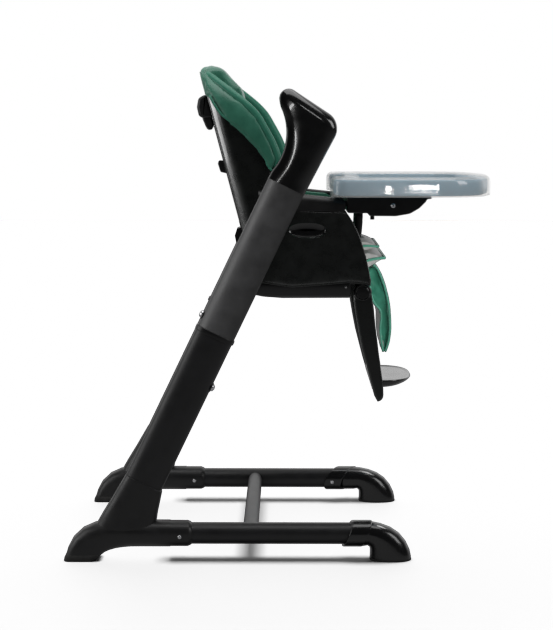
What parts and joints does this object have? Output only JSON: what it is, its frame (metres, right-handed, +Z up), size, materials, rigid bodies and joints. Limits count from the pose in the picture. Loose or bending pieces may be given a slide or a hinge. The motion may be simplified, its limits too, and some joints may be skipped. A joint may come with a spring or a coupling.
{
  "type": "baby high chair",
  "caption": "High chair with two leaning side legs on a runner base, a reclining bucket seat, a folding footrest and a sliding tray with a lift-off cover.",
  "frame": {"origin": "on the floor, under the middle of the chair", "axes": "+X towards the front of the chair, +Y to the child's left, +Z up"},
  "size_m": [0.9315, 0.6212, 1.0555],
  "materials": {
    "frame_black": "satin powder coat",
    "gloss_black": "glossy moulded",
    "satin_black": "satin moulded",
    "rubber": "matt",
    "bright_metal": "polished",
    "green_cover": "soft grained",
    "grey_pad": "padded",
    "webbing": "woven",
    "tray_body": "glossy moulded",
    "tray_clear": "clear moulded"
  },
  "bodies": {
    "frame": {"rear_foot_right": "gloss_black", "rear_foot_left": "gloss_black", "front_foot_right": "gloss_black", "front_foot_left": "gloss_black", "rear_foot_pads": "rubber", "front_foot_pads": "rubber", "runner_tube_right": "frame_black", "runner_tube_left": "frame_black", "cross_bar": "frame_black", "base_screws": "bright_metal", "lower_leg_right": "frame_black", "lower_leg_left": "frame_black", "leg_coupler_right": "satin_black", "leg_coupler_left": "satin_black", "upper_leg_right": "frame_black", "upper_leg_left": "frame_black", "head_shell_right": "gloss_black", "head_shell_left": "gloss_black", "head_cover_right": "gloss_black", "head_cover_left": "gloss_black", "seat_bracket_right": "satin_black", "seat_bracket_left": "satin_black", "bracket_bolts": "bright_metal", "seat_shell": "satin_black", "seat_base": "satin_black", "armrest_right": "satin_black", "armrest_left": "satin_black", "backrest_pins": "bright_metal", "seat_cushion": "green_cover", "seat_insert": "grey_pad", "side_pads": "green_cover", "calf_flap": "green_cover", "footrest_pins": "bright_metal", "crotch_post": "gloss_black", "lap_straps": "webbing", "harness_buckle": "satin_black"},
    "backrest": {"backrest_shell": "satin_black", "recline_housing": "satin_black", "strap_hook": "satin_black", "strap_box": "satin_black", "recline_strap": "webbing", "backrest_cover": "green_cover", "shoulder_straps": "webbing"},
    "recline_lever": {"recline_lever": "satin_black"},
    "footrest": {"footrest_arm_right": "satin_black", "footrest_arm_left": "satin_black", "foot_plate": "gloss_black", "footrest_caps": "gloss_black"},
    "tray": {"tray_carrier": "satin_black", "tray_rails": "satin_black", "main_tray": "tray_body", "carrier_screws": "bright_metal", "tray_peg": "satin_black"},
    "tray_cover": {"tray_cover": "tray_clear"},
    "snap_button_right": {"snap_button_right": "bright_metal"},
    "snap_button_left": {"snap_button_left": "bright_metal"},
    "catch_button": {"catch_button": "bright_metal"},
    "side_button_right": {"side_button_right": "gloss_black"},
    "side_button_left": {"side_button_left": "gloss_black"}
  },
  "joints": [
    {"name": "backrest_recline", "type": "hinge", "parent": "frame", "child": "backrest", "pos_m": [-0.062, 0, 0.6215], "axis": [0, -1, 0], "range_deg": [0, 35]},
    {"name": "recline_lever_pull", "type": "slide", "parent": "backrest", "child": "recline_lever", "axis": [-0.2555, 0, 0.9668], "range_m": [0, 0.008], "stiffness_N_per_m": 600, "springref_m": -0.002},
    {"name": "footrest_fold", "type": "hinge", "parent": "frame", "child": "footrest", "pos_m": [0.176, 0, 0.5645], "axis": [0, -1, 0], "range_deg": [0, 70]},
    {"name": "tray_slide", "type": "slide", "parent": "frame", "child": "tray", "axis": [1, 0, 0], "range_m": [0, 0.06]},
    {"name": "tray_cover_lift", "type": "slide", "parent": "tray", "child": "tray_cover", "axis": [0, 0, 1], "range_m": [0, 0.1]},
    {"name": "snap_button_right_press", "type": "slide", "parent": "frame", "child": "snap_button_right", "axis": [-0.9011, 0, 0.4337], "range_m": [0, 0.005], "stiffness_N_per_m": 400},
    {"name": "snap_button_left_press", "type": "slide", "parent": "frame", "child": "snap_button_left", "axis": [-0.9011, 0, 0.4337], "range_m": [0, 0.005], "stiffness_N_per_m": 400},
    {"name": "catch_button_press", "type": "slide", "parent": "frame", "child": "catch_button", "axis": [0.9011, 0, -0.4337], "range_m": [0, 0.005], "stiffness_N_per_m": 400},
    {"name": "side_button_right_press", "type": "slide", "parent": "frame", "child": "side_button_right", "axis": [0, 1, 0], "range_m": [0, 0.004], "stiffness_N_per_m": 400},
    {"name": "side_button_left_press", "type": "slide", "parent": "frame", "child": "side_button_left", "axis": [0, -1, 0], "range_m": [0, 0.004], "stiffness_N_per_m": 400}
  ]
}
